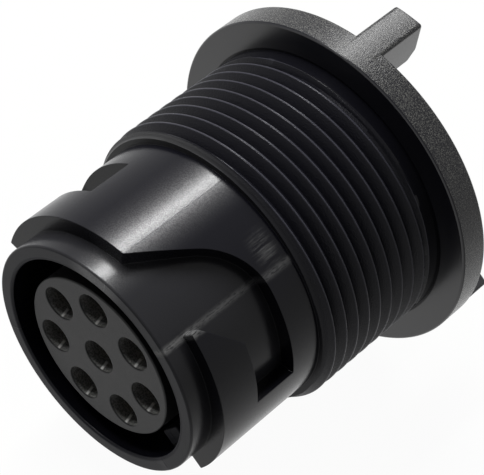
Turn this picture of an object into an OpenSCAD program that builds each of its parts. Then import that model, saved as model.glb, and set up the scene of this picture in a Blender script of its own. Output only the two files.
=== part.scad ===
// Panel receptacle with a three-track bayonet nose and eight socket contacts.
// Millimetres. Origin: centre of the flange's front face, where the panel seats.
// The nose points to -Y, +X is to the right seen from the front, +Z is up.
// Modules are drawn with the nose along +Z and turned into that frame once, by in_panel().

/* [Flange and rear tabs] */
// Outside diameter of the flange
flange_diameter = 24; // [23:0.1:26.4]
// Thickness of the flange
flange_thickness = 2.1; // [1.9:0.1:3]
// Small chamfer on the flange's two outer edges
flange_edge = 0.15; // [0.05:0.05:0.4]
// Tabs on the flange's rear
tab_count = 3; // [2:1:4]
// Angle of the first tab, counter-clockwise seen from the front
tab_angle = 90; // [80:1:100]
// Length of a tab behind the flange
tab_length = 3.85; // [2:0.05:6]
// Width of a tab
tab_width = 2.2; // [1.4:0.1:4]
// Depth of a tab, inwards from the flange's rim
tab_depth = 2.95; // [2:0.05:3.3]
// Chamfer on the inner corner of a tab's end
tab_inner_chamfer = 0.7; // [0.2:0.1:1.2]
// Small chamfer on the outer corner of a tab's end
tab_outer_chamfer = 0.2; // [0.1:0.05:0.5]

/* [Threaded barrel] */
// Major diameter of the fine thread, which the panel nut runs on
thread_diameter = 20; // [19.4:0.1:21.4]
// Length of the barrel in front of the flange
barrel_length = 10.4; // [9.4:0.1:11.4]
// Lead-in chamfer at the front of the thread
barrel_chamfer = 0.4; // [0.2:0.05:0.7]

/* [Nose and socket] */
// Length from the flange's front face to the front of the nose
nose_length = 20.4; // [19.6:0.1:21.8]
// Outside diameter of the lands between the bayonet tracks
land_diameter = 18.4; // [18:0.1:18.9]
// Outside diameter of the front ring and of the track floors
ring_diameter = 16.3; // [15.8:0.1:16.8]
// Distance of the lands' front behind the front of the nose
land_setback = 1.65; // [1.1:0.05:2.1]
// Inside diameter of the socket
socket_diameter = 14.28; // [13.94:0.02:14.54]
// Depth of the socket from the front of the nose
socket_depth = 11.9; // [11.4:0.1:12.4]
// Small chamfer on the nose's edges
nose_edge = 0.18; // [0.05:0.01:0.3]
// Angle of the polarising key in the socket
key_angle = -30.5; // [-40:0.5:-20]
// Width of the polarising key
key_width = 1.8; // [1:0.05:2.5]
// Height of the key above the socket's wall
key_height = 1.05; // [0.6:0.05:1.15]
// Distance of the key's front behind the front of the nose
key_setback = 1.5; // [0.5:0.05:4]

/* [Bayonet tracks] */
// Number of tracks round the nose
track_count = 3; // [2:1:3]
// Angle at which the first track's ramp meets the front of the lands
track_angle = 90.3; // [60:0.1:120]
// Width of a track's entry
entry_span = 38.3; // [34.7:0.1:40.7]
// Angle from the ramp's front corner to the track's end wall
track_span = 83.5; // [78:0.5:90]
// Distance from the front of the nose to the channel's rear wall
channel_rear = 7.7; // [7.35:0.05:8.15]
// Width of the channel that the lug locks in
channel_width = 3.15; // [2.85:0.05:3.45]
// Slope of the ramp that draws the lug in
ramp_slope = 56.4; // [52:0.2:60]
// Radius that blends the ramp into the channel
ramp_radius = 5.6; // [3.2:0.1:6.2]
// Slope of the land's tip across the entry
tip_slope = 46.5; // [42:0.5:52]
// Straight length of the land's leading edge
tip_straight = 0.5; // [0.2:0.05:0.9]

/* [Contact insert] */
// Diameter of the insert in the socket
insert_diameter = 11.34; // [11.22:0.02:11.52]
// Distance of the insert's face behind the front of the nose
insert_recess = 0.42; // [0.2:0.02:1.5]
// Thickness of the web in the shell that the insert passes through
web_thickness = 2; // [1.6:0.1:2.4]
// Thickness of the insert's collar
collar_thickness = 2.5; // [2.1:0.1:2.9]
// Small chamfer on the insert's face
insert_edge = 0.12; // [0.05:0.01:0.3]
// Contacts on the ring, besides the one in the centre
ring_contacts = 7; // [7:1:7]
// Pitch circle of the ring of contacts
contact_circle = 7.97; // [7.9:0.01:8.3]
// Angle of the first contact on the ring
contact_angle = 50.2; // [40:0.1:60]
// Diameter of a contact hole in the insert's face
hole_diameter = 2.33; // [2.24:0.01:2.44]

/* [Contacts] */
// Outside diameter of a contact's socket end
contact_diameter = 2.1; // [1.96:0.02:2.14]
// Bore of the socket end
contact_bore = 1.54; // [1.3:0.02:1.6]
// Depth of that bore
bore_depth = 8; // [6:0.1:10]
// Distance of the contact's tip behind the insert's face
tip_recess = 2.4; // [1.6:0.1:4]
// Width of the slots that make the socket end springy
slot_width = 0.3; // [0.2:0.02:0.5]
// Length of those slots
slot_length = 5.5; // [3:0.1:6]
// Diameter of the collar that holds the contact
stop_diameter = 2.8; // [2.6:0.05:2.9]
// Thickness of that collar
stop_thickness = 1; // [0.6:0.05:1.4]
// Diameter of the tail
tail_diameter = 1.9; // [1.7:0.02:2]
// Length of the tail behind the retainer
tail_length = 6.1; // [4.5:0.1:8]
// Bore of the solder cup
cup_bore = 1.36; // [1:0.02:1.4]
// Depth of the solder cup
cup_depth = 3.4; // [2:0.1:4]
// Length of the cup's open side
cup_window = 2.8; // [1:0.1:3]

/* [Retainer, spring ring and seals] */
// Thickness of the contact retainer
retainer_thickness = 2.9; // [2.6:0.05:3.1]
// Bore in the rear of the shell
rear_bore = 16; // [15.8:0.1:16.4]
// Wall of the rim round that bore, behind the flange
rim_wall = 1.2; // [0.9:0.05:1.6]
// Length of the rim behind the spring ring's groove
rim_lip = 2; // [1.8:0.1:3]
// Thickness of the spring ring
spring_thickness = 1; // [0.8:0.05:1.05]
// Width of the spring ring, inwards
spring_width = 1.4; // [1:0.05:1.8]
// Gap between the spring ring's ends
spring_gap = 22; // [18:1:34]
// Depth of the spring ring's groove
groove_depth = 0.4; // [0.25:0.05:0.6]
// Width of that groove
groove_width = 1.1; // [1.1:0.05:1.3]
// Section diameter of the insert seal, before it is squeezed
seal_section = 1.2; // [1.1:0.05:1.3]
// How far the insert seal is squeezed
seal_squeeze = 0.2; // [0.1:0.02:0.3]
// Thickness of the mating seal
mating_seal_thickness = 1.4; // [0.8:0.1:2.5]
// Width of the rib that stops the insert from turning
rib_width = 1.6; // [1:0.1:2.2]
// Height of that rib
rib_height = 0.8; // [0.5:0.05:1]

/* [Clearances] */
// Radial clearance of the insert in the shell's web
web_clearance = 0.06; // [0.03:0.01:0.15]
// Radial clearance of the insert's collar and the retainer in the rear bore
bore_clearance = 0.1; // [0.05:0.01:0.2]
// Radial clearance of a contact's collar in the retainer
stop_clearance = 0.05; // [0.02:0.01:0.08]
// Radial clearance of a contact's tail in the retainer
tail_clearance = 0.07; // [0.03:0.01:0.12]
// Clearance of the insert and the retainer on the rib, each side
rib_clearance = 0.08; // [0.04:0.01:0.15]
// Radial clearance of the mating seal
mating_seal_clearance = 0.04; // [0.02:0.01:0.1]
// Radial clearance of the spring ring in its groove
groove_clearance = 0.05; // [0.02:0.01:0.1]

/* [Hidden] */
$fn = 96;

flange_r = flange_diameter / 2;
thread_r = thread_diameter / 2;
land_r = land_diameter / 2;
ring_r = ring_diameter / 2;
socket_r = socket_diameter / 2;
insert_r = insert_diameter / 2;
bore_r = rear_bore / 2;
carrier_r = bore_r - bore_clearance;
circle_r = contact_circle / 2;

// Stations along the axis, forward of the flange's front face
tab_end = -flange_thickness - tab_length;
land_front = nose_length - land_setback;
wall_rear = nose_length - channel_rear;
wall_front = wall_rear + channel_width;
socket_floor = nose_length - socket_depth;
web_rear = socket_floor - web_thickness;
collar_front = web_rear - seal_section + seal_squeeze;
collar_rear = collar_front - collar_thickness;
retainer_rear = collar_rear - retainer_thickness;
spring_rear = retainer_rear - spring_thickness;
rim_rear = spring_rear - rim_lip;
insert_face = nose_length - insert_recess;
contact_tip = insert_face - tip_recess;
stop_rear = collar_rear - stop_thickness;
tail_end = retainer_rear - tail_length;

// Entry of a track, in the plane square to its middle: across, then forward
entry_angle = track_angle - entry_span / 2;
entry_half = land_r * sin(entry_span / 2);
ramp_corner = entry_half - (land_front - wall_rear) / tan(ramp_slope);
ramp_tangent = ramp_radius * tan(ramp_slope / 2);
tip_rear = land_front - tip_straight;
tip_foot = entry_half + (tip_rear - wall_front) / tan(tip_slope);
channel_from = track_angle - track_span;

far = 20;
bite = 0.3;

module in_panel() {
  rotate([90, 0, 0]) children();
}

// A profile drawn as [radius, station], turned about the axis
module turned(points) {
  rotate_extrude() polygon(points);
}

// A bar along a radius: from r0 to r1, from station z0 to z1
module radial_bar(angle, width, r0, r1, z0, z1) {
  rotate([0, 0, angle]) translate([r0, -width / 2, z0]) cube([r1 - r0, width, z1 - z0]);
}

// The ramp's corner outside its blend radius, which stays solid
module ramp_fill() {
  difference() {
    polygon([
      [ramp_corner + 0.2, wall_rear - 0.2],
      [ramp_corner - ramp_tangent, wall_rear - 0.2],
      [ramp_corner - ramp_tangent, wall_rear],
      [ramp_corner + ramp_tangent * cos(ramp_slope), wall_rear + ramp_tangent * sin(ramp_slope)],
      [ramp_corner + ramp_tangent * cos(ramp_slope) + 0.2, wall_rear + ramp_tangent * sin(ramp_slope) - 0.2]
    ]);
    translate([ramp_corner - ramp_tangent, wall_rear + ramp_radius]) circle(r = ramp_radius);
  }
}

// Outline of a track: its entry is open to the front, between the land's tip and the ramp
module track_outline() {
  difference() {
    polygon([
      [-entry_half, land_front + 2],
      [-entry_half, tip_rear],
      [-tip_foot, wall_front],
      [-far, wall_front],
      [-far, wall_rear],
      [ramp_corner, wall_rear],
      [entry_half, land_front],
      [entry_half + 2 / tan(ramp_slope), land_front + 2]
    ]);
    ramp_fill();
  }
}

// What one track takes out of the lands: its outline, pressed in at the entry, as far as its end wall
module track_cut() {
  intersection() {
    rotate([0, 0, entry_angle]) rotate([90, 0, 90]) linear_extrude(height = far) track_outline();
    rotate([0, 0, channel_from]) translate([-far, 0, 0]) cube([2 * far, far, 2 * far]);
  }
}

// The raised lands: a tube outside the nose's core, less the tracks
module lands() {
  difference() {
    turned([
      [ring_r - bite, barrel_length - 1],
      [land_r, barrel_length - 1],
      [land_r, land_front - nose_edge],
      [land_r - nose_edge, land_front],
      [ring_r - bite, land_front]
    ]);
    for (i = [0 : track_count - 1])
      rotate([0, 0, i * 360 / track_count]) track_cut();
  }
}

module tab(angle) {
  rotate([0, 0, angle]) intersection() {
    rotate([90, 0, 0]) translate([0, 0, -tab_width / 2]) linear_extrude(height = tab_width) polygon([
      [flange_r - tab_depth, -flange_thickness / 2],
      [flange_r + 1, -flange_thickness / 2],
      [flange_r + 1, tab_end],
      [flange_r - tab_depth + tab_inner_chamfer, tab_end],
      [flange_r - tab_depth, tab_end + tab_inner_chamfer]
    ]);
    turned([
      [0, 0],
      [flange_r, 0],
      [flange_r, tab_end + tab_outer_chamfer],
      [flange_r - tab_outer_chamfer, tab_end],
      [0, tab_end]
    ]);
  }
}

// Rear rim, flange, barrel, nose core, socket, web, rear bore and the spring ring's groove
module shell_body() {
  turned([
    [bore_r, rim_rear],
    [bore_r + rim_wall, rim_rear],
    [bore_r + rim_wall, -flange_thickness],
    [flange_r - flange_edge, -flange_thickness],
    [flange_r, -flange_thickness + flange_edge],
    [flange_r, -flange_edge],
    [flange_r - flange_edge, 0],
    [thread_r, 0],
    [thread_r, barrel_length - barrel_chamfer],
    [thread_r - barrel_chamfer, barrel_length],
    [ring_r, barrel_length],
    [ring_r, nose_length - nose_edge],
    [ring_r - nose_edge, nose_length],
    [socket_r + nose_edge, nose_length],
    [socket_r, nose_length - nose_edge],
    [socket_r, socket_floor],
    [insert_r + web_clearance, socket_floor],
    [insert_r + web_clearance, web_rear],
    [bore_r, web_rear],
    [bore_r, spring_rear + groove_width],
    [bore_r + groove_depth, spring_rear + groove_width],
    [bore_r + groove_depth, spring_rear],
    [bore_r, spring_rear]
  ]);
}

module shell() {
  color([0.05, 0.05, 0.055]) in_panel() union() {
    shell_body();
    lands();
    for (i = [0 : tab_count - 1])
      tab(tab_angle + i * 360 / tab_count);
    radial_bar(key_angle, key_width, socket_r - key_height, socket_r + bite, socket_floor - bite,
      nose_length - key_setback);
    radial_bar(90, rib_width, bore_r - rib_height, bore_r + bite, collar_rear - retainer_thickness / 2,
      collar_front - 0.1);
  }
}

// Runs its child at each contact's place: the ring first, the centre last
module at_contact(i) {
  if (i < ring_contacts)
    rotate([0, 0, contact_angle + i * 360 / ring_contacts]) translate([circle_r, 0, 0]) children();
  else
    children();
}

// Room for the rib in the insert's collar and in the retainer
module rib_slot(z0, z1) {
  radial_bar(90, rib_width + 2 * rib_clearance, bore_r - rib_height - rib_clearance, bore_r + 1, z0, z1);
}

module contact_insert() {
  color([0.07, 0.07, 0.075]) in_panel() difference() {
    turned([
      [0, collar_rear],
      [carrier_r, collar_rear],
      [carrier_r, collar_front],
      [insert_r, collar_front],
      [insert_r, insert_face - insert_edge],
      [insert_r - insert_edge, insert_face],
      [0, insert_face]
    ]);
    for (i = [0 : ring_contacts])
      at_contact(i) translate([0, 0, collar_rear - 1])
        cylinder(d = hole_diameter, h = insert_face - collar_rear + 2);
    rib_slot(collar_rear - 1, collar_front + 1);
  }
}

module contact_retainer() {
  color([0.16, 0.16, 0.17]) in_panel() difference() {
    translate([0, 0, retainer_rear]) cylinder(r = carrier_r, h = retainer_thickness);
    for (i = [0 : ring_contacts])
      at_contact(i) {
        translate([0, 0, retainer_rear - 1])
          cylinder(d = tail_diameter + 2 * tail_clearance, h = retainer_thickness + 2);
        translate([0, 0, stop_rear])
          cylinder(d = stop_diameter + 2 * stop_clearance, h = stop_thickness + 1);
      }
    rib_slot(retainer_rear - 1, collar_rear + 1);
  }
}

// Spring ring with its two eyes, open at the bottom
module retaining_ring() {
  ring_out = bore_r + groove_depth - groove_clearance;
  eye_r = 1.15;
  eye_at = bore_r - eye_r - 0.1;
  color([0.62, 0.62, 0.63]) in_panel() translate([0, 0, spring_rear]) difference() {
    union() {
      rotate([0, 0, 270 + spring_gap / 2]) rotate_extrude(angle = 360 - spring_gap)
        translate([ring_out - spring_width, 0]) square([spring_width, spring_thickness]);
      for (side = [-1, 1])
        rotate([0, 0, 270 + side * (spring_gap / 2 + 3)]) translate([eye_at, 0, 0])
          cylinder(r = eye_r, h = spring_thickness);
    }
    for (side = [-1, 1])
      rotate([0, 0, 270 + side * (spring_gap / 2 + 3)]) translate([eye_at, 0, -1])
        cylinder(r = 0.55, h = spring_thickness + 2);
  }
}

// Seal between the web and the insert's collar, flattened by its squeeze
module insert_seal() {
  section_r = seal_section / 2;
  squeezed = seal_section - seal_squeeze;
  color([0.09, 0.09, 0.09]) in_panel() intersection() {
    translate([0, 0, (web_rear + collar_front) / 2]) rotate_extrude()
      translate([bore_r - 0.05 - section_r, 0]) circle(r = section_r);
    translate([0, 0, collar_front]) cylinder(r = bore_r, h = squeezed);
  }
}

// Flat ring at the bottom of the socket, notched for the key
module mating_seal() {
  color([0.1, 0.1, 0.1]) in_panel() difference() {
    turned([
      [insert_r + mating_seal_clearance, socket_floor],
      [socket_r - mating_seal_clearance, socket_floor],
      [socket_r - mating_seal_clearance, socket_floor + mating_seal_thickness],
      [insert_r + mating_seal_clearance, socket_floor + mating_seal_thickness]
    ]);
    radial_bar(key_angle, key_width + 0.2, insert_r - 1, socket_r + 1, socket_floor - 1,
      socket_floor + mating_seal_thickness + 1);
  }
}

// Turned socket contact: split front, collar, tail with a solder cup
module contact(i) {
  front_r = contact_diameter / 2;
  tail_r = tail_diameter / 2;
  color([0.83, 0.66, 0.3]) in_panel() at_contact(i) difference() {
    turned([
      [0, tail_end],
      [tail_r, tail_end],
      [tail_r, stop_rear],
      [stop_diameter / 2, stop_rear],
      [stop_diameter / 2, collar_rear],
      [front_r, collar_rear],
      [front_r, contact_tip - 0.15],
      [front_r - 0.15, contact_tip],
      [contact_bore / 2 + 0.1, contact_tip],
      [contact_bore / 2, contact_tip - 0.2],
      [contact_bore / 2, contact_tip - bore_depth],
      [0, contact_tip - bore_depth]
    ]);
    for (turn = [0, 90])
      rotate([0, 0, turn]) translate([-far / 2, -slot_width / 2, contact_tip - slot_length])
        cube([far, slot_width, slot_length + 1]);
    translate([0, 0, tail_end - 1]) cylinder(d = cup_bore, h = cup_depth + 1);
    translate([0, -far / 2, tail_end - 1]) cube([far, far, cup_window + 1]);
  }
}

module contact_1() { contact(0); }
module contact_2() { contact(1); }
module contact_3() { contact(2); }
module contact_4() { contact(3); }
module contact_5() { contact(4); }
module contact_6() { contact(5); }
module contact_7() { contact(6); }
module contact_8() { contact(7); }

shell();
contact_insert();
contact_retainer();
retaining_ring();
insert_seal();
mating_seal();
contact_1();
contact_2();
contact_3();
contact_4();
contact_5();
contact_6();
contact_7();
contact_8();
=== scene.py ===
"""Looks of the bayonet panel receptacle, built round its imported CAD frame."""
import itertools
import math

import bpy
import bmesh
from mathutils import Matrix, Vector
from mathutils.geometry import delaunay_2d_cdt


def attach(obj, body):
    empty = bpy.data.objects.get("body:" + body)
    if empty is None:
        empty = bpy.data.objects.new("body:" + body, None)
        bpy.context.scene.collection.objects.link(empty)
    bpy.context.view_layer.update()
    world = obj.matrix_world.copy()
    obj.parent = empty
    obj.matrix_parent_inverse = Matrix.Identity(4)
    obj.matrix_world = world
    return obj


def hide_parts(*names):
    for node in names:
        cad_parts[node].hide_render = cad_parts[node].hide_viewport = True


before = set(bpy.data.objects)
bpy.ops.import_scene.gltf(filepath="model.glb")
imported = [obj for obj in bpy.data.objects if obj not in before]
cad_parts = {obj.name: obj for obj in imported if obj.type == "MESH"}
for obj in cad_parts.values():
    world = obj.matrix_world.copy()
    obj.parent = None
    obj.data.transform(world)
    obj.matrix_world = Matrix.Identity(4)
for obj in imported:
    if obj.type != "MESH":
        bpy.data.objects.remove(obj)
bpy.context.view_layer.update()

# Sizes in millimetres, the same as the CAD source's. Stations run forward of the flange's front face,
# angles run counter-clockwise seen from the front.
MM = 0.001
FLANGE_R = 12.0
FLANGE_REAR = -2.1
RIM_R = 9.2
RIM_REAR = -2.9
TAB_END = -5.95
TAB_INNER = 9.05
TAB_ROOT = -1.2
TAB_WIDTH = 2.2
TAB_CHAMFER = 0.7
TAB_EASE = 0.2
TAB_ANGLES = (90, 210, 330)
THREAD_R = 10.0
THREAD_DEPTH = 0.61
BARREL_FRONT = 10.4
LAND_R = 9.2
FLOOR_R = 8.15
LAND_FRONT = 18.75
NOSE_FRONT = 20.4
SOCKET_R = 7.14
SOCKET_FLOOR = 8.5
WEB_R = 5.73
WEB_REAR = 6.5
BORE_R = 8.0
GROOVE_R = 8.4
GROOVE_REAR = -0.9
GROOVE_FRONT = 0.2
KEY_ANGLE = -30.5
KEY_WIDTH = 1.8
KEY_HEIGHT = 1.05
KEY_FRONT = 18.9
RIB_ANGLE = 90
RIB_WIDTH = 1.6
RIB_HEIGHT = 0.8
RIB_REAR = 1.55
RIB_FRONT = 5.4
RIB_CLEARANCE = 0.08
TRACK_ANGLE = 90.3
ENTRY_SPAN = 38.3
ENTRY_ANGLE = TRACK_ANGLE - ENTRY_SPAN / 2
RAMP_SLOPE = 56.4
RAMP_RADIUS = 5.6
TIP_ANGLE = TRACK_ANGLE - ENTRY_SPAN
TIP_REAR = 18.25
TIP_FOOT = 36.0
CHANNEL_END = 6.8
CHANNEL_REAR = 12.7
CHANNEL_FRONT = 15.85
INSERT_R = 5.67
INSERT_FACE = 19.98
COLLAR_R = 7.9
COLLAR_REAR = 3.0
COLLAR_FRONT = 5.5
RETAINER_REAR = 0.1
HOLE_R = 1.165
HOLE_CIRCLE = 3.985
HOLE_START = 50.2
RING_HOLES = 7
CONTACT_R = 1.05
CONTACT_TIP = 17.58
PIN_BORE_R = 0.77
PIN_BORE_FLOOR = 9.58
SPLIT_WIDTH = 0.3
SPLIT_FLOOR = 12.08
STOP_R = 1.4
STOP_REAR = 2.0
STOP_SEAT_R = 1.45
TAIL_R = 0.95
TAIL_END = -6.0
TAIL_HOLE_R = 1.02
CUP_R = 0.68
CUP_FLOOR = -2.6
CUP_WINDOW_FRONT = -3.2

# How far an added block reaches into what carries it
BITE = 0.3

# Samples round the axis; the first lies inside a land, so that the three sectors meet there
ROUND = 432
SECTORS = 3
START = -11.0
ANGLES = [START + i * 360 / ROUND for i in range(ROUND)]


def evenly(count):
    """Angles at equal steps round a circle."""
    return [i * 360 / count for i in range(count)]


def at(x, y, s):
    """A point given across, up and forward, in the row frame."""
    return Vector((x * MM, -s * MM, y * MM))


def place(r, degrees, s):
    a = math.radians(degrees)
    return at(r * math.cos(a), r * math.sin(a), s)


def facing(out, along, forward, degrees):
    """A direction given by its radial, tangential and forward parts."""
    a = math.radians(degrees)
    c, t = math.cos(a), math.sin(a)
    return Vector((out * c - along * t, -forward, out * t + along * c)).normalized()


def cells(point):
    """Keys of the micrometre cells that a point lies in or next to."""
    return itertools.product(*[{math.floor(c * 1e6 - 0.25), math.floor(c * 1e6 + 0.25)} for c in point])


class Skin:
    """Collects a closed surface whose points carry the directions they face."""

    def __init__(self):
        self.points = []
        self.faced = []
        self.faces = []
        self.index = {}

    def add(self, point, direction):
        keys = list(cells(point))
        i = next((self.index[k] for k in keys if k in self.index), None)
        if i is None:
            i = len(self.points)
            self.points.append(point)
            self.faced.append([])
        for k in keys:
            self.index.setdefault(k, i)
        if all(direction.dot(d) < 0.9999 for d in self.faced[i]):
            self.faced[i].append(direction)
        return i

    def face(self, *corners):
        kept = [c for k, c in enumerate(corners) if c != corners[k - 1]]
        if len(set(kept)) == len(kept) > 2:
            self.faces.append(kept)

    def strip(self, low, high, closed):
        count = len(low) if closed else len(low) - 1
        for k in range(count):
            n = (k + 1) % len(low)
            self.face(low[k], low[n], high[n], high[k])

    def mesh(self, name):
        made = bpy.data.meshes.new(name)
        made.from_pydata(self.points, [], self.faces)
        made.update()
        return made


def eased(corners, steps=3):
    """Rounds a line's corners. Each corner is x, y and a radius: 0 stays sharp, None lies on a smooth run.
    Gives points with the direction to the right of the line."""
    out = []

    def right(p, q):
        d = Vector((q[0] - p[0], q[1] - p[1])).normalized()
        return Vector((d.y, -d.x))

    for k, corner in enumerate(corners):
        here = Vector(corner[:2])
        if k == 0 or k == len(corners) - 1:
            pair = (corners[0], corners[1]) if k == 0 else (corners[-2], corners[-1])
            out.append((here.x, here.y, right(*pair)))
            continue
        before, after = right(corners[k - 1], corner), right(corner, corners[k + 1])
        radius = corner[2]
        if radius is None:
            out.append((here.x, here.y, (before + after).normalized()))
            continue
        bend = math.atan2(before.x * after.y - before.y * after.x, before.dot(after))
        if radius == 0 or abs(bend) < 1e-4:
            out.append((here.x, here.y, before))
            out.append((here.x, here.y, after))
            continue
        reach = radius * math.tan(abs(bend) / 2)
        back = Vector((before.y, -before.x))
        first = here + back * reach
        side = 1 if bend > 0 else -1
        middle = first - before * radius * side
        for i in range(steps + 1):
            a = bend * i / steps
            n = Vector((before.x * math.cos(a) - before.y * math.sin(a),
                        before.x * math.sin(a) + before.y * math.cos(a)))
            p = middle + n * radius * side
            out.append((p.x, p.y, n))
    return out


def turn(skin, line, angles, x=0.0, y=0.0):
    """Turns a profile of radius and station about an axis through x, y."""
    low = None
    for r, s, n in line:
        ring = []
        for a in angles:
            c, t = math.cos(math.radians(a)), math.sin(math.radians(a))
            ring.append(skin.add(at(x + r * c, y + r * t, s), facing(n.x, 0, n.y, a)))
        if low is not None and low != ring:
            skin.strip(low, ring, True)
        low = ring
    return low


def inside(x, y, loop):
    """Whether a point lies inside a closed loop."""
    found = False
    for k, (ax, ay) in enumerate(loop):
        bx, by = loop[k - 1]
        if (ay > y) != (by > y) and x < (bx - ax) * (y - ay) / (by - ay) + ax:
            found = not found
    return found


def clear_of(x, y, points, gap):
    return all((x - px) ** 2 + (y - py) ** 2 > gap * gap for px, py in points)


def fill(loops, spread=()):
    """Triangles between an outer loop and the loops inside it, as corners by number.
    Numbers follow the loops' points, then the spread points."""
    points, edges = [], []
    for loop in loops:
        base = len(points)
        points += [Vector(p) for p in loop]
        edges += [(base + k, base + (k + 1) % len(loop)) for k in range(len(loop))]
    points += [Vector(p) for p in spread]
    made = delaunay_2d_cdt(points, edges, [], 1, 1e-7)
    first = [ids[0] for ids in made[3]]
    triangles = []
    for corners in made[2]:
        ids = [first[c] for c in corners]
        mid = sum((points[i] for i in ids), Vector((0, 0))) / len(ids)
        if not any(inside(mid.x, mid.y, hole) for hole in loops[1:]):
            triangles.append(ids)
    return triangles


def spaced(line, step):
    """The line with points added along its straight runs."""
    out = [line[0]]
    for (ax, ay, an), (bx, by, bn) in zip(line, line[1:]):
        count = max(1, math.ceil(math.hypot(bx - ax, by - ay) / step))
        for i in range(1, count + 1):
            f = i / count
            out.append((ax + (bx - ax) * f, ay + (by - ay) * f, (an * (1 - f) + bn * f).normalized()))
    return out


# Bayonet nose: one wall line per sector parts the land below it from the track floor above it
EDGE = 0.03
FOOT = 0.01
LAND_BASE = BARREL_FRONT + 0.15
FLOOR_TOP = NOSE_FRONT - 0.4


def unroll(degrees):
    return math.radians(degrees) * LAND_R


def track_line():
    """The wall line of one sector, unrolled at the land's radius."""
    arc_steps = 32
    straight_steps = 12
    half = LAND_R * math.sin(math.radians(ENTRY_SPAN / 2))
    slope = math.radians(RAMP_SLOPE)
    corner = half - (LAND_FRONT - CHANNEL_REAR) / math.tan(slope)
    start = corner - RAMP_RADIUS * math.tan(slope / 2)
    run = []
    for i in range(arc_steps + 1):
        a = slope * i / arc_steps
        run.append((start + RAMP_RADIUS * math.sin(a), CHANNEL_REAR + RAMP_RADIUS * (1 - math.cos(a))))
    last = run[-1]
    for i in range(1, straight_steps):
        f = i / straight_steps
        run.append((last[0] + (half - last[0]) * f, last[1] + (LAND_FRONT - last[1]) * f))
    ramp = [(unroll(ENTRY_ANGLE + math.degrees(math.asin(a / LAND_R))), s, None) for a, s in run]
    corners = [
        (unroll(START), LAND_FRONT, 0),
        (unroll(TIP_ANGLE), LAND_FRONT, 0.12),
        (unroll(TIP_ANGLE), TIP_REAR, 0.12),
        (unroll(TIP_FOOT), CHANNEL_FRONT, 0.2),
        (unroll(CHANNEL_END), CHANNEL_FRONT, 0.05),
        (unroll(CHANNEL_END), CHANNEL_REAR, 0.05),
        *ramp,
        (unroll(TRACK_ANGLE), LAND_FRONT, 0.2),
        (unroll(START + 360 / SECTORS), LAND_FRONT, 0),
    ]
    return spaced(eased(corners, 6), 0.13)


def nose_sector(skin, offset):
    """Land, wall and track floor of one third of the nose."""
    line = track_line()
    rows = []
    for k in range(4):
        a = math.radians(30 * k)
        c, t = math.cos(a), math.sin(a)
        rows.append((EDGE * (t - 1), LAND_R - EDGE + EDGE * c, t, c))
    for k in range(4):
        a = math.radians(30 * k)
        c, t = math.cos(a), math.sin(a)
        rows.append((FOOT * (1 - c), FLOOR_R + FOOT - FOOT * t, c, t))
    made, flats = [], []
    for shift, r, side, out in rows:
        flat = [(x - n.x * shift, s - n.y * shift) for x, s, n in line]
        flats.append(flat)
        made.append([
            skin.add(place(r, offset + math.degrees(fx / LAND_R), fs),
                     facing(out, -n.x * side, -n.y * side, offset + math.degrees(fx / LAND_R)))
            for (fx, fs), (x, s, n) in zip(flat, line)
        ])
    for low, high in zip(made, made[1:]):
        skin.strip(low, high, False)
    sector = [unroll(START + i * 360 / ROUND) for i in range(ROUND // SECTORS + 1)]
    left, right = sector[0], sector[-1]
    edge_front = LAND_FRONT - EDGE
    foot_front = LAND_FRONT + FOOT
    climb = [LAND_BASE + (edge_front - LAND_BASE) * i / 30 for i in range(1, 30)]
    climb_floor = [foot_front + (FLOOR_TOP - foot_front) * i / 6 for i in range(1, 6)]
    land = [(x, LAND_BASE) for x in sector]
    land += [(right, s) for s in climb]
    land += flats[0][::-1]
    land += [(left, s) for s in climb[::-1]]
    floor = flats[-1] + [(right, s) for s in climb_floor]
    floor += [(x, FLOOR_TOP) for x in sector[::-1]]
    floor += [(left, s) for s in climb_floor[::-1]]
    surfaces = (
        (land, LAND_R, LAND_BASE, edge_front),
        (floor, FLOOR_R, CHANNEL_REAR, FLOOR_TOP),
    )
    for loop, r, low, high in surfaces:
        spread = []
        count = int((high - low) / 0.3)
        for i in range(2, len(sector) - 1, 2):
            for j in range(1, count):
                p = (sector[i], low + (high - low) * j / count)
                if clear_of(*p, loop, 0.14) and inside(*p, loop):
                    spread.append(p)
        ids = []
        for x, s in loop + spread:
            a = offset + math.degrees(x / LAND_R)
            ids.append(skin.add(place(r, a, s), facing(1, 0, 0, a)))
        for corners in fill([loop], spread):
            skin.face(*[ids[c] for c in corners])


# Fine thread: rows follow the helix, the front is chamfered and the rear runs out into a plain band
PITCH = 1.05
CREST_START = 1.345
THREAD_REAR = 0.45
RUN_OUT = 0.94
CHAMFER = 0.4
CREST = 0.03
THREAD_ROWS = (-0.5, -0.47, -0.25, -0.1, -CREST, CREST, 0.1, 0.25, 0.47)


def thread_depth(phase):
    """Depth of the thread, as a share, at a phase of its pitch counted from the crest."""
    away = abs((phase + 0.5) % 1 - 0.5)
    return max(0, (away - CREST) / (0.5 - CREST))


def thread_radius(degrees, s):
    phase = (s - CREST_START) / PITCH - (degrees - START) / 360
    deep = min(THREAD_DEPTH * thread_depth(phase), max(0, 1.5 * (s - RUN_OUT)))
    return min(THREAD_R - deep, THREAD_R - CHAMFER + BARREL_FRONT - s)


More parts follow.
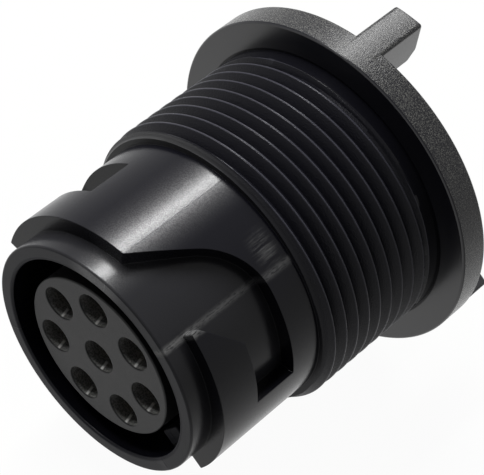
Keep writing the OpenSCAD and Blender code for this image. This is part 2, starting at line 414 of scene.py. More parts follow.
def thread(skin):
    """Grid that follows the helix; returns the front edge."""
    turns = int((BARREL_FRONT - THREAD_REAR) / PITCH) + 3
    rows = [(CREST_START + (k + f) * PITCH) for k in range(-3, turns) for f in THREAD_ROWS]
    probe = 0.012
    columns = []
    for i in range(ROUND + 1):
        a = START + i * 360 / ROUND
        column = []
        for v in rows:
            s = min(BARREL_FRONT, max(THREAD_REAR, v + PITCH * i / ROUND))
            r = thread_radius(a, s)
            ahead_r = thread_radius(a, min(s + probe, BARREL_FRONT))
            steep = (ahead_r - thread_radius(a, s - probe)) / (2 * probe)
            column.append(skin.add(place(r, a, s), facing(1, 0, -steep, a)))
        columns.append(column)
    for a, b in zip(columns, columns[1:]):
        for j in range(len(rows) - 1):
            skin.face(a[j], b[j], b[j + 1], a[j + 1])
    return [column[-1] for column in columns[:-1]]


def shell_skin():
    skin = Skin()
    inner = eased([
        (FLOOR_R, FLOOR_TOP, 0),
        (FLOOR_R, NOSE_FRONT, 0.16),
        (SOCKET_R, NOSE_FRONT, 0.16),
        (SOCKET_R, SOCKET_FLOOR, 0.2),
        (WEB_R, SOCKET_FLOOR, 0.05),
        (WEB_R, WEB_REAR, 0.05),
        (BORE_R, WEB_REAR, 0.1),
        (BORE_R, GROOVE_FRONT, 0.04),
        (GROOVE_R, GROOVE_FRONT, 0.04),
        (GROOVE_R, GROOVE_REAR, 0.04),
        (BORE_R, GROOVE_REAR, 0.04),
        (BORE_R, RIM_REAR, 0.2),
        (RIM_R, RIM_REAR, 0.15),
        (RIM_R, FLANGE_REAR, 0.15),
        (FLANGE_R - 0.004, FLANGE_REAR, 0.15),
        (FLANGE_R - 0.004, 0, 0.15),
        (THREAD_R, 0, 0),
        (THREAD_R, THREAD_REAR, 0),
    ], 4)
    turn(skin, inner, ANGLES)
    front = thread(skin)
    base = eased([
        (LAND_R + 0.05, BARREL_FRONT, 0),
        (LAND_R, BARREL_FRONT, 0.02),
        (LAND_R, LAND_BASE, 0),
    ], 4)
    first = base[0]
    ring = [skin.add(place(first[0], a, first[1]), facing(0, 0, 1, a)) for a in ANGLES]
    for i in front:
        skin.faced[i].append(Vector((0, -1, 0)))
    skin.strip(front, ring, True)
    turn(skin, base, ANGLES)
    for k in range(SECTORS):
        nose_sector(skin, 360 / SECTORS * k)
    return skin


def block(low_r, high_r, rear, front):
    """A rectangular outline of radius and station."""
    return [(low_r, rear), (high_r, rear), (high_r, front), (low_r, front)]


def bar(outline, width, degrees, ease=0.1, curved=None):
    """A block with eased edges: an outline of radius and station, as wide as given, at an angle."""
    bm = bmesh.new()
    sides = []
    for y in (-width / 2, width / 2):
        sides.append([bm.verts.new((r, y, s)) for r, s in outline])
    bm.faces.new(sides[0])
    bm.faces.new(sides[1][::-1])
    for k in range(len(outline)):
        n = (k + 1) % len(outline)
        bm.faces.new((sides[0][n], sides[0][k], sides[1][k], sides[1][n]))
    bmesh.ops.recalc_face_normals(bm, faces=bm.faces)
    if curved:
        cuts = [e for e in bm.edges if abs(e.verts[0].co.y - e.verts[1].co.y) > width / 2]
        bmesh.ops.subdivide_edges(bm, edges=cuts, cuts=7, use_grid_fill=True)
        for v in bm.verts:
            if v.co.x > curved - 1:
                v.co.x -= curved - math.sqrt(curved * curved - v.co.y * v.co.y)
    sharp = [e for e in bm.edges if e.calc_face_angle(0) > 0.3]
    bmesh.ops.bevel(bm, geom=sharp, offset=ease, segments=3, profile=0.5, affect="EDGES")
    spin = Matrix.Rotation(math.radians(degrees), 4, "Z")
    for v in bm.verts:
        p = spin @ v.co
        v.co = at(p.x, p.y, p.z)
    made = bpy.data.meshes.new("bar")
    bm.to_mesh(made)
    bm.free()
    return made


def shown(name, mesh):
    thing = bpy.data.objects.new(name, mesh)
    bpy.context.scene.collection.objects.link(thing)
    return thing


def joined(meshes, name):
    bm = bmesh.new()
    for mesh in meshes:
        bm.from_mesh(mesh)
    made = bpy.data.meshes.new(name)
    bm.to_mesh(made)
    bm.free()
    return made


def cut(thing, tool_mesh, operation):
    """Joins a tool mesh to a piece, or takes it away."""
    tool = shown("tool", tool_mesh)
    step = thing.modifiers.new("cut", "BOOLEAN")
    step.operation = operation
    step.solver = "MANIFOLD"
    step.object = tool
    bpy.context.view_layer.update()
    graph = bpy.context.evaluated_depsgraph_get()
    made = bpy.data.meshes.new_from_object(thing.evaluated_get(graph))
    made.name = thing.name
    thing.modifiers.clear()
    thing.data = made
    bpy.data.objects.remove(tool)


def dress(thing, skins=(), angle=35):
    """Gives each corner the direction its surface faces: from the skin where it is known,
    and else from the faces round it that bend away by less than the angle."""
    mesh = thing.data
    mesh.shade_smooth()
    known = {}
    for skin in skins:
        for p, faced in zip(skin.points, skin.faced):
            for key in cells(p):
                known.setdefault(key, []).extend(faced)
    least = math.cos(math.radians(angle))
    around = [[] for _ in mesh.vertices]
    for poly in mesh.polygons:
        for v in poly.vertices:
            around[v].append((poly.normal.copy(), poly.area))
    result = []
    for poly in mesh.polygons:
        flat = poly.normal.copy()
        for v in poly.vertices:
            key = tuple(math.floor(c * 1e6) for c in mesh.vertices[v].co)
            best = max(known.get(key, ()), key=flat.dot, default=None)
            if best is not None and best.dot(flat) > 0.75:
                result.append(best)
                continue
            total = Vector((0, 0, 0))
            for n, area in around[v]:
                if n.dot(flat) > least:
                    total += n * area
            result.append(total.normalized() if total.length > 0 else flat)
    mesh.normals_split_custom_set(result)


def drilled(skin, outer, loops, front):
    """A flat face with round openings: outer and loops hold corner numbers and flat points."""
    rings = [outer] + loops
    ids = [i for ring in rings for i, p in ring]
    for corners in fill([[p for i, p in ring] for ring in rings]):
        picked = [ids[c] for c in corners]
        skin.face(*(picked if front else picked[::-1]))


def hole_places():
    places = []
    for k in range(RING_HOLES):
        a = math.radians(HOLE_START + 360 * k / RING_HOLES)
        places.append((HOLE_CIRCLE * math.cos(a), HOLE_CIRCLE * math.sin(a)))
    return places + [(0.0, 0.0)]


def ring_of(skin, r, s, forward, angles, x=0.0, y=0.0):
    out = []
    for a in angles:
        px = x + r * math.cos(math.radians(a))
        py = y + r * math.sin(math.radians(a))
        out.append((skin.add(at(px, py, s), Vector((0, -forward, 0))), (px, py)))
    return out


def carrier_skin(outline, hole_line, front_s, rear_s):
    """A turned body with the eight contact holes through it."""
    skin = Skin()
    outer_angles = evenly(192)
    hole_angles = evenly(56)
    line = eased(outline, 4)
    turn(skin, line, outer_angles)
    bore = eased(hole_line, 3)
    for x, y in hole_places():
        turn(skin, bore, hole_angles, x, y)
    ends = (
        (front_s, 1, line[-1][0], bore[0][0]),
        (rear_s, -1, line[0][0], bore[-1][0]),
    )
    for s, forward, edge, lip in ends:
        outer = ring_of(skin, edge, s, forward, outer_angles)
        loops = [ring_of(skin, lip, s, forward, hole_angles, x, y) for x, y in hole_places()]
        drilled(skin, outer, loops, forward > 0)
    return skin


def insert_skin():
    outline = [
        (COLLAR_R - 0.3, COLLAR_REAR, 0),
        (COLLAR_R, COLLAR_REAR, 0.1),
        (COLLAR_R, COLLAR_FRONT, 0.1),
        (INSERT_R, COLLAR_FRONT, 0.1),
        (INSERT_R, INSERT_FACE, 0.12),
        (INSERT_R - 0.3, INSERT_FACE, 0),
    ]
    hole = [
        (HOLE_R + 0.14, INSERT_FACE, 0),
        (HOLE_R, INSERT_FACE, 0.07),
        (HOLE_R, COLLAR_REAR, 0.05),
        (HOLE_R + 0.14, COLLAR_REAR, 0),
    ]
    return carrier_skin(outline, hole, INSERT_FACE, COLLAR_REAR)


def retainer_skin():
    outline = [
        (COLLAR_R - 0.5, RETAINER_REAR, 0),
        (COLLAR_R, RETAINER_REAR, 0.15),
        (COLLAR_R, COLLAR_REAR, 0.1),
        (COLLAR_R - 0.5, COLLAR_REAR, 0),
    ]
    hole = [
        (STOP_SEAT_R + 0.05, COLLAR_REAR, 0),
        (STOP_SEAT_R, COLLAR_REAR, 0.03),
        (STOP_SEAT_R, STOP_REAR, 0.03),
        (TAIL_HOLE_R, STOP_REAR, 0.03),
        (TAIL_HOLE_R, RETAINER_REAR, 0.1),
        (TAIL_HOLE_R + 0.18, RETAINER_REAR, 0),
    ]
    return carrier_skin(outline, hole, COLLAR_REAR, RETAINER_REAR)


def contact_skin():
    """One turned contact on the axis: open socket in front, stop collar, tail with a solder cup."""
    skin = Skin()
    angles = evenly(48)
    line = eased([
        (0.02, CUP_FLOOR, 0),
        (CUP_R, CUP_FLOOR, 0.03),
        (CUP_R, TAIL_END, 0.05),
        (TAIL_R, TAIL_END, 0.06),
        (TAIL_R, STOP_REAR, 0.04),
        (STOP_R, STOP_REAR, 0.06),
        (STOP_R, COLLAR_REAR, 0.06),
        (CONTACT_R, COLLAR_REAR, 0.04),
        (CONTACT_R, CONTACT_TIP, 0.12),
        (PIN_BORE_R, CONTACT_TIP, 0.12),
        (PIN_BORE_R, PIN_BORE_FLOOR, 0.03),
        (0.02, PIN_BORE_FLOOR, 0),
    ], 3)
    turn(skin, line, angles)
    for r, s, forward in ((line[0][0], line[0][1], -1), (line[-1][0], line[-1][1], 1)):
        ids = [i for i, p in ring_of(skin, r, s, forward, angles)]
        skin.face(*(ids if forward > 0 else ids[::-1]))
    return skin


class Value:
    """A shader socket: sums and products with it add Math nodes."""

    def __init__(self, finish, socket):
        self.finish = finish
        self.socket = socket

    def maths(self, operation, *values):
        return self.finish.add("ShaderNodeMath", {"operation": operation}, dict(enumerate(values)))

    def __add__(self, other):
        return self.maths("ADD", self, other)

    def __radd__(self, other):
        return self.maths("ADD", other, self)

    def __sub__(self, other):
        return self.maths("SUBTRACT", self, other)

    def __rsub__(self, other):
        return self.maths("SUBTRACT", other, self)

    def __mul__(self, other):
        return self.maths("MULTIPLY", self, other)

    def __rmul__(self, other):
        return self.maths("MULTIPLY", other, self)

    def __truediv__(self, other):
        return self.maths("DIVIDE", self, other)

    def between(self, low, high):
        """0 below low, 1 above high, eased in between."""
        return self.finish.add("ShaderNodeMapRange", {"interpolation_type": "SMOOTHSTEP"},
                               {"Value": self, "From Min": low, "From Max": high})


class Finish:
    """A material's node tree with its Principled shader."""

    def __init__(self, name):
        self.material = bpy.data.materials.new(name)
        self.material.use_nodes = True
        self.tree = self.material.node_tree
        self.shader = self.tree.nodes["Principled BSDF"]
        self.coords = self.add("ShaderNodeTexCoord", {}, {}, "Object")

    def add(self, kind, settings, sockets, out=0):
        node = self.tree.nodes.new(kind)
        for key, value in settings.items():
            if key == "stops":
                ramp = node.color_ramp
                for (position, colour), element in zip(value, ramp.elements):
                    element.position = position
                    element.color = colour
                for position, colour in value[len(ramp.elements):]:
                    ramp.elements.new(position).color = colour
            else:
                setattr(node, key, value)
        for key, value in sockets.items():
            if isinstance(value, Value):
                self.tree.links.new(value.socket, node.inputs[key])
            else:
                node.inputs[key].default_value = value
        return Value(self, node.outputs[out])

    def set(self, **sockets):
        for key, value in sockets.items():
            name = key.replace("_", " ")
            if isinstance(value, Value):
                self.tree.links.new(value.socket, self.shader.inputs[name])
            else:
                self.shader.inputs[name].default_value = value
        return self.material

    def noise(self, scale, detail=2.0, roughness=0.5, stretch=None):
        """Noise over the surface, drawn out along the axes that stretch scales down."""
        vector = self.coords
        if stretch:
            vector = self.add("ShaderNodeMapping", {}, {"Vector": vector, "Scale": stretch})
        return self.add("ShaderNodeTexNoise", {},
                        {"Vector": vector, "Scale": scale, "Detail": detail, "Roughness": roughness})

    def polar(self):
        """Radius, angle in degrees and station of the surface point, in millimetres."""
        parts = [self.add("ShaderNodeSeparateXYZ", {}, {0: self.coords}, k) for k in range(3)]
        x, y, z = [p * 1000 for p in parts]
        radius = x.maths("SQRT", x * x + z * z)
        degrees = x.maths("ARCTAN2", z, x) * (180 / math.pi)
        return radius, degrees, y * -1

    def tint(self, factor, low, high):
        """A mix of two colours, each given by its parts or as a socket."""
        a, b = [c if isinstance(c, Value) else (*c, 1) for c in (low, high)]
        return self.add("ShaderNodeMix", {"data_type": "RGBA"}, {"Factor": factor, "A": a, "B": b}, 2)

    def bump(self, height, distance):
        return self.add("ShaderNodeBump", {}, {"Height": height, "Distance": distance, "Strength": 1.0})


# Angles of the nose's first parting line, a painted highlight streak and a scuffed spot
PARTING_ANGLE = 90
STREAK_ANGLE = 51.3
SCUFF_ANGLE = 60


def shell_finish():
    """Black moulded plastic: glossy nose with parting lines, grained rim; painted highlights on the thread
    crests, along a streak and as glint specks on the rim, and painted light on the barrel's shoulder and
    the track floor.
    """
    f = Finish("black_shell")
    radius, degrees, station = f.polar()
    rim = radius.between(FLANGE_R - 0.2, FLANGE_R - 0.1) * (1 - station.between(-0.17, -0.12))
    nose = station.between(BARREL_FRONT, BARREL_FRONT + 0.2)
    front = station.between(NOSE_FRONT - 0.1, NOSE_FRONT - 0.02)
    key = 1 - radius.between(SOCKET_R - 0.06, SOCKET_R - 0.02)
    key = key * station.between(SOCKET_FLOOR + 0.1, SOCKET_FLOOR + 0.2)
    mouth = 1 - radius.between(SOCKET_R + 0.16, SOCKET_R + 0.26)
    mouth = mouth * station.between(NOSE_FRONT - 0.2, NOSE_FRONT - 0.1)
    # Painted light: the barrel's front shoulder is painted paler, most along its top where the lamp falls
    shoulder = station.between(BARREL_FRONT - 0.35, BARREL_FRONT - 0.25)
    shoulder = shoulder * (1 - station.between(BARREL_FRONT + 0.01, BARREL_FRONT + 0.03))
    shoulder = shoulder * radius.between(LAND_R, LAND_R + 0.05)
    threaded = station.between(RUN_OUT - 0.04, RUN_OUT - 0.01)
    threaded = threaded * (1 - station.between(BARREL_FRONT - 0.2, BARREL_FRONT - 0.1))
    outermost = radius.between(THREAD_R - 0.04, THREAD_R - 0.015)
    crest = outermost * threaded
    flanks = (1 - outermost) * threaded
    # Painted light: the track floor is painted a little paler, lifting the shade its walls cast
    track = radius.between(FLOOR_R - 0.1, FLOOR_R - 0.05)
    track = track * (1 - radius.between(FLOOR_R + 0.05, FLOOR_R + 0.15)) * nose
    tab = radius.between(RIM_R + 0.1, RIM_R + 0.2)
    tab = tab * (1 - station.between(FLANGE_REAR - 0.2, FLANGE_REAR - 0.1)) * (1 - rim)
    cloud = f.noise(700, 3)
    fine = f.noise(11000, stretch=(1.0, 0.22, 1.0))
    grain = f.noise(13000, 2.5, 0.6)
    pits = f.add("ShaderNodeTexVoronoi", {"feature": "F1"}, {"Vector": f.coords, "Scale": 10000.0})
    ring_turn = station.between(LAND_FRONT - 0.25, LAND_FRONT + 0.05) * 1.5
    beside = degrees.maths("WRAP", degrees - PARTING_ANGLE + ring_turn, 60.0, -60.0)
    lifted = beside.maths("MAXIMUM", beside / 7 + 1, 0.0)
    step = lifted * lifted * (1 - beside.between(-0.1, 0.1)) * nose
    seam = (1 - beside.maths("ABSOLUTE", beside).between(0.05, 0.3)) * nose
    coarse = (grain + pits * 0.6) * (rim * 0.55 + flanks * 0.42 + nose * 0.1)
    height = fine * 0.14 * (1 - rim) * (1 - nose * 0.4) + coarse + step * 0.9 - seam * 0.4
    normal = f.bump(height, 0.00004)
    scratched = f.noise(5000, 4, 0.7, stretch=(1.0, 0.08, 1.0))
    # Painted highlight: a pale streak at STREAK_ANGLE, brighter towards the front, stands in for a line of
    # reflected light on the nose
    from_painted_streak = beside.maths("ABSOLUTE", degrees - STREAK_ANGLE)
    line = (1 - from_painted_streak.between(0.0, 2.6)) * nose * fine.between(0.2, 0.6)
    line = line * (station.between(17, 19) + 1)
    from_patch = beside.maths("ABSOLUTE", degrees - SCUFF_ANGLE)
    patch = (1 - from_patch.between(2, 10)) * station.between(BARREL_FRONT + 0.2, BARREL_FRONT + 1.0)
    patch = patch * (1 - station.between(BARREL_FRONT + 1.4, BARREL_FRONT + 2.4))
    # The pale mix holds the painted streak highlight, the real scuffs of the patch, and painted light on
    # the shoulder's top and on the track floor
    scuffs_and_painted_light = line * 0.45 + patch * scratched.between(0.4, 0.8) * 0.5
    scuffs_and_painted_light = scuffs_and_painted_light + shoulder * (degrees.between(75, 125) * 0.2 + 0.05) + track * 0.07
    # Painted glints: pale specks in the rim's grain stand in for sparkles of light; the same specks also
    # roughen the rim
    painted_glint_speck = grain.between(0.46, 0.66)
    seat = radius.between(THREAD_R + 0.1, THREAD_R + 0.2) * station.between(-0.12, -0.02)
    polished = degrees.between(76, 90) * (1 - degrees.between(98, 112)) * nose
    shine = tab * 0.75 + seat * 0.7 + rim * 0.22 + polished * (grain.between(0.4, 0.6) * 0.3 + 0.3)
    # Painted highlight: the thread crests are painted paler, standing in for the thin lines of light along
    # them
    plain = f.tint(crest, (0.005, 0.005, 0.0075), (0.036, 0.036, 0.046))
    clean = f.tint(rim * painted_glint_speck, plain, (0.09, 0.09, 0.083))
    colour = f.tint(scuffs_and_painted_light, clean, (0.16, 0.16, 0.158))
    rough = 0.17 + cloud * 0.06 + rim * painted_glint_speck * 0.12 + front * 0.22 + flanks * 0.16 + crest * 0.08
    rough = rough + key * 0.4 + mouth * 0.15 + shoulder * 0.2
    return f.set(Base_Color=colour, Roughness=rough, Normal=normal, IOR=1.5,
                 Specular_IOR_Level=0.11, Coat_Weight=shine, Coat_Roughness=0.3)


def insert_finish():
    """Black moulded plastic with painted light on the contact holes' walls and a painted glint low on each.
    """
    f = Finish("black_insert")
    radius, degrees, station = f.polar()
    step = 360 / RING_HOLES
    nearest = radius.maths("ROUND", (degrees - HOLE_START) / step) * step + HOLE_START
    turned = nearest * (math.pi / 180)
    ring = radius.between(HOLE_CIRCLE / 2 - 0.1, HOLE_CIRCLE / 2 + 0.1) * HOLE_CIRCLE
    here = degrees * (math.pi / 180)
    across = radius * radius.maths("COSINE", here) - ring * radius.maths("COSINE", turned)
    up = radius * radius.maths("SINE", here) - ring * radius.maths("SINE", turned)
    round_hole = radius.maths("ARCTAN2", up, across) * (180 / math.pi)
    depth = INSERT_FACE - station
    wall = (1 - radius.between(INSERT_R - 0.3, INSERT_R - 0.2)) * depth.between(0.06, 0.12)
    # Painted glint: a pale line low on each hole's wall, running inwards, stands in for a reflection
    from_painted_glint = radius.maths("ABSOLUTE", round_hole + depth * 12 + 77)
    painted_glint = wall * (1 - from_painted_glint.between(2, 7)) * (1 - depth.between(0.65, 0.85))
    cloud = f.noise(900, 3)
    fine = f.noise(9000, 2)
    normal = f.bump(fine, 0.000012)
    face = f.tint(cloud.between(0.3, 0.7), (0.009, 0.009, 0.0095), (0.013, 0.013, 0.0135))
    # Painted light: the hole walls are painted pale and mottled, standing in for light reaching into the
    # holes
    painted_wall_light = wall * (fine.between(0.35, 0.65) * 0.6 + 0.4)
    inner = f.tint(painted_wall_light, face, (0.26, 0.26, 0.25))
    colour = f.tint(painted_glint, inner, (0.9, 0.9, 0.87))
    return f.set(Base_Color=colour, Roughness=0.38 + fine * 0.14, Normal=normal, IOR=1.5,
                 Specular_IOR_Level=0.2)


def retainer_finish():
    f = Finish("dark_retainer")
    cloud = f.noise(600, 3)
    fine = f.noise(7000, 2)
    normal = f.bump(fine, 0.00002)
    colour = f.tint(cloud.between(0.3, 0.7), (0.035, 0.035, 0.037), (0.05, 0.05, 0.053))
    return f.set(Base_Color=colour, Roughness=0.42 + fine * 0.16, Normal=normal)


def rubber_finish():
    f = Finish("seal_rubber")
    cloud = f.noise(1200, 3)
    fine = f.noise(11000, 3)
    normal = f.bump(fine, 0.00003)
    colour = f.tint(cloud.between(0.3, 0.7), (0.012, 0.012, 0.012), (0.024, 0.024, 0.024))
    return f.set(Base_Color=colour, Roughness=0.68 + fine * 0.2, Normal=normal)


def steel_finish():
    f = Finish("spring_steel")
    brushed = f.noise(9000, stretch=(1.0, 0.06, 1.0))
    cloud = f.noise(500, 3)
    normal = f.bump(brushed, 0.00001)
    colour = f.tint(cloud.between(0.3, 0.7), (0.42, 0.42, 0.43), (0.52, 0.52, 0.53))
    return f.set(Base_Color=colour, Metallic=1.0, Roughness=0.24 + brushed * 0.16, Normal=normal)


def contact_finish():
    f = Finish("gold_flash")
    cloud = f.noise(900, 3)
    turned = f.noise(12000, stretch=(0.1, 1.0, 0.1))
    normal = f.bump(turned, 0.000002)
    colour = f.tint(cloud.between(0.3, 0.7), (0.72, 0.50, 0.19), (0.83, 0.62, 0.27))
    return f.set(Base_Color=colour, Metallic=1.0, Roughness=0.28 + turned * 0.12, Normal=normal)


# Pieces
black = shell_finish()
insert_black = insert_finish()
dark = retainer_finish()
rubber = rubber_finish()
steel = steel_finish()
gold = contact_finish()

skin = shell_skin()
shell = shown("shell_moulding", skin.mesh("shell_moulding"))
tab_outline = [
    (TAB_INNER, TAB_ROOT),
    (FLANGE_R, TAB_ROOT),
    (FLANGE_R, TAB_END),
    (TAB_INNER + TAB_CHAMFER, TAB_END),
    (TAB_INNER, TAB_END + TAB_CHAMFER),
]
additions = [bar(tab_outline, TAB_WIDTH, a, ease=TAB_EASE, curved=FLANGE_R) for a in TAB_ANGLES]
key_outline = block(SOCKET_R - KEY_HEIGHT, SOCKET_R + BITE, SOCKET_FLOOR - BITE, KEY_FRONT)
additions.append(bar(key_outline, KEY_WIDTH, KEY_ANGLE, ease=0.12))
rib_outline = block(BORE_R - RIB_HEIGHT, BORE_R + BITE, RIB_REAR, RIB_FRONT)
additions.append(bar(rib_outline, RIB_WIDTH, RIB_ANGLE, ease=0.1))
cut(shell, joined(additions, "additions"), "UNION")
dress(shell, [skin])
shell.data.materials.clear()
shell.data.materials.append(black)
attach(shell, "root")
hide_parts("shell")

slot_outline = block(BORE_R - RIB_HEIGHT - RIB_CLEARANCE, BORE_R + 1, -1, 7)
slot_width = RIB_WIDTH + 2 * RIB_CLEARANCE
for name, build, finish, node, slot in (
    ("insert_moulding", insert_skin, insert_black, "contact_insert", "insert_plastic"),
    ("retainer_moulding", retainer_skin, dark, "contact_retainer", "retainer_plastic"),
):
    body = build()
    piece = shown(name, body.mesh(name))
    cut(piece, bar(slot_outline, slot_width, RIB_ANGLE, ease=0.05), "DIFFERENCE")
    dress(piece, [body])
    piece.data.materials.clear()
    piece.data.materials.append(finish)
    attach(piece, "root")
    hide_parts(node)


def contact_set():
    """The eight contacts: one turned contact, set round the circle and in the centre by Geometry Nodes."""
    one_skin = contact_skin()
    one = shown("contact_one", one_skin.mesh("contact_one"))
    for a in (0, 90):
        cut(one, bar(block(-2, 2, SPLIT_FLOOR, 19), SPLIT_WIDTH, a, ease=0.01), "DIFFERENCE")
    cut(one, bar(block(0, 2, -7, CUP_WINDOW_FRONT), 4, 0, ease=0.02), "DIFFERENCE")
    dress(one, [one_skin])
    tree = bpy.data.node_groups.new("contact_circle", "GeometryNodeTree")
    tree.interface.new_socket("Geometry", in_out="INPUT", socket_type="NodeSocketGeometry")
    for name, kind in (("Contacts on the circle", "NodeSocketInt"), ("Circle radius", "NodeSocketFloat"),
                       ("First angle", "NodeSocketFloat")):
        tree.interface.new_socket(name, in_out="INPUT", socket_type=kind)
    tree.interface.new_socket("Geometry", in_out="OUTPUT", socket_type="NodeSocketGeometry")
    nodes, links = tree.nodes, tree.links
    entry = nodes.new("NodeGroupInput")
    leave = nodes.new("NodeGroupOutput")

    def node(kind, settings, sockets):
        made = nodes.new(kind)
        for key, value in settings.items():
            setattr(made, key, value)
        for key, value in sockets.items():
            if isinstance(value, bpy.types.NodeSocket):
                links.new(value, made.inputs[key])
            else:
                made.inputs[key].default_value = value
        return made

    def maths(operation, *values):
        return node("ShaderNodeMath", {"operation": operation}, dict(enumerate(values))).outputs[0]

    number = entry.outputs["Contacts on the circle"]
    points = node("GeometryNodePoints", {}, {"Count": maths("ADD", number, 1.0)})
    index = node("GeometryNodeInputIndex", {}, {}).outputs[0]
    step = maths("DIVIDE", 2 * math.pi, number)
    angle = maths("MULTIPLY_ADD", index, step, entry.outputs["First angle"])
    on_circle = maths("LESS_THAN", index, number)
    reach = maths("MULTIPLY", on_circle, entry.outputs["Circle radius"])
    across = maths("MULTIPLY", reach, maths("COSINE", angle))
    up = maths("MULTIPLY", reach, maths("SINE", angle))
    spot = node("ShaderNodeCombineXYZ", {}, {0: across, 2: up}).outputs[0]
    turned = maths("MULTIPLY", angle, on_circle)
    spun = node("ShaderNodeCombineXYZ", {}, {1: maths("MULTIPLY", turned, -1.0)}).outputs[0]
    set_spot = node("GeometryNodeSetPosition", {}, {"Geometry": points.outputs[0], "Position": spot})
    each = node("GeometryNodeInstanceOnPoints", {}, {
        "Points": set_spot.outputs[0], "Instance": entry.outputs["Geometry"], "Rotation": spun})
    real = node("GeometryNodeRealizeInstances", {}, {0: each.outputs[0]})
    finish = node("GeometryNodeSetMaterial", {}, {"Geometry": real.outputs[0], "Material": gold})
    links.new(finish.outputs[0], leave.inputs[0])
    circle = one.modifiers.new("circle", "NODES")
    circle.node_group = tree
    values = {"Contacts on the circle": RING_HOLES, "Circle radius": HOLE_CIRCLE * MM,
              "First angle": math.radians(HOLE_START)}
    for item in tree.interface.items_tree:
        if item.item_type == "SOCKET" and item.in_out == "INPUT" and item.name in values:
            circle[item.identifier] = values[item.name]
    bpy.context.view_layer.update()
    made = bpy.data.meshes.new_from_object(one.evaluated_get(bpy.context.evaluated_depsgraph_get()))
    made.name = "contact_set"
    bpy.data.objects.remove(one)
    return shown("contact_set", made)


contacts = contact_set()
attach(contacts, "root")
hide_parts(*["contact_%d" % k for k in range(1, 9)])

for node, finish in (("retaining_ring", steel), ("insert_seal", rubber), ("mating_seal", rubber)):
    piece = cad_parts[node]
    piece.data.materials.clear()
    piece.data.materials.append(finish)


# Floor, light and camera
SEEN_WHITE = 0.90
SPILLED_WHITE = 0.06
SHEET = ((-80, -60), (-20, -60), (30, 0), (45, 10), (45, 80), (-80, 80))


def background_rays(tree):
    """1 for the rays that show the plain background: from the camera, mirrored or let through."""
    path = tree.nodes.new("ShaderNodeLightPath")
    found = path.outputs["Is Camera Ray"]
    for name in ("Is Glossy Ray", "Is Transmission Ray"):
        either = tree.nodes.new("ShaderNodeMath")
        either.operation = "MAXIMUM"
        tree.links.new(found, either.inputs[0])
        tree.links.new(path.outputs[name], either.inputs[1])
        found = either.outputs[0]
    return found


def floor_finish():
    """Matt paper that shows as nearly white."""
    material = bpy.data.materials.new("pale_floor")
    material.use_nodes = True
    tree = material.node_tree
    tree.nodes.clear()
    matt = tree.nodes.new("ShaderNodeBsdfDiffuse")
    matt.inputs["Color"].default_value = (0.64, 0.65, 0.615, 1)
    white = tree.nodes.new("ShaderNodeEmission")
    blend = tree.nodes.new("ShaderNodeMixShader")
    keep = tree.nodes.new("ShaderNodeMath")
    keep.operation = "MULTIPLY_ADD"
    keep.inputs[1].default_value = SEEN_WHITE
    keep.inputs[2].default_value = SPILLED_WHITE
    out = tree.nodes.new("ShaderNodeOutputMaterial")
    tree.links.new(background_rays(tree), keep.inputs[0])
    tree.links.new(keep.outputs[0], blend.inputs[0])
    tree.links.new(matt.outputs[0], blend.inputs[1])
    tree.links.new(white.outputs[0], blend.inputs[2])
    tree.links.new(blend.outputs[0], out.inputs[0])
    return material


floor_mesh = bpy.data.meshes.new("floor")
floor_mesh.from_pydata([(x * MM, y * MM, -FLANGE_R * MM) for x, y in SHEET], [], [range(len(SHEET))])
floor = shown("floor", floor_mesh)
floor_mesh.materials.append(floor_finish())


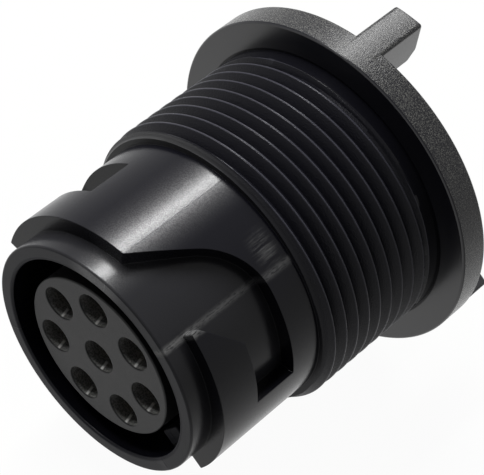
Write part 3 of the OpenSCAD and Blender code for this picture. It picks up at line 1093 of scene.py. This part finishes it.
def room_light():
    """A dim room that lights matt surfaces, in front of a plain white background."""
    world = bpy.data.worlds.new("studio")
    bpy.context.scene.world = world
    world.use_nodes = True
    tree = world.node_tree
    tree.nodes.clear()
    coords = tree.nodes.new("ShaderNodeTexCoord")
    side = tree.nodes.new("ShaderNodeVectorMath")
    side.operation = "DOT_PRODUCT"
    side.inputs[1].default_value = (0.7, 0.6, -0.4)
    tone = tree.nodes.new("ShaderNodeValToRGB")
    low, high = tone.color_ramp.elements
    low.position = 0.25
    low.color = (0.03, 0.03, 0.034, 1)
    high.position = 0.6
    high.color = (0.4, 0.4, 0.405, 1)
    room = tree.nodes.new("ShaderNodeBackground")
    white = tree.nodes.new("ShaderNodeBackground")
    white.inputs["Color"].default_value = (1, 1, 1, 1)
    blend = tree.nodes.new("ShaderNodeMixShader")
    out = tree.nodes.new("ShaderNodeOutputWorld")
    tree.links.new(coords.outputs["Generated"], side.inputs[0])
    tree.links.new(side.outputs["Value"], tone.inputs[0])
    tree.links.new(tone.outputs[0], room.inputs["Color"])
    tree.links.new(background_rays(tree), blend.inputs[0])
    tree.links.new(room.outputs[0], blend.inputs[1])
    tree.links.new(white.outputs[0], blend.inputs[2])
    tree.links.new(blend.outputs[0], out.inputs[0])


room_light()


def strip_light(name, degrees, distance, middle, width, length, power):
    """A long soft light parallel to the axis, at an angle round it; middle is its station."""
    lamp = bpy.data.lights.new(name, "AREA")
    lamp.shape = "RECTANGLE"
    lamp.size = width
    lamp.size_y = length
    lamp.energy = power
    thing = bpy.data.objects.new(name, lamp)
    bpy.context.scene.collection.objects.link(thing)
    back = facing(1, 0, 0, degrees)
    along = Vector((0, 1, 0))
    across = along.cross(back)
    thing.matrix_world = Matrix((across, along, back)).transposed().to_4x4()
    thing.location = place(distance, degrees, middle)


strip_light("overhead_strip", degrees=121.2, distance=390, middle=-175, width=0.045, length=0.55, power=3.9)

# The camera's lens, place and directions were solved from outlines in the photograph
LENS = 153.16
CAMERA_PLACE = Vector((0.045564, -0.073046, 0.102699))
CAMERA_RIGHT = Vector((0.72393, 0.68035, 0.11425))
CAMERA_AHEAD = Vector((-0.35222, 0.50690, -0.78676))

look = bpy.data.cameras.new("camera")
look.sensor_width = 36
look.lens = LENS
look.clip_start = 0.001
look.clip_end = 10
camera = bpy.data.objects.new("camera", look)
bpy.context.scene.collection.objects.link(camera)
ahead = CAMERA_AHEAD.normalized()
to_top = CAMERA_RIGHT.cross(ahead).normalized()
to_right = ahead.cross(to_top).normalized()
aim = Matrix((to_right, to_top, -ahead)).transposed().to_4x4()
camera.matrix_world = Matrix.Translation(CAMERA_PLACE) @ aim
bpy.context.scene.camera = camera
bpy.context.scene.view_settings.view_transform = "Standard"

bpy.context.view_layer.update()
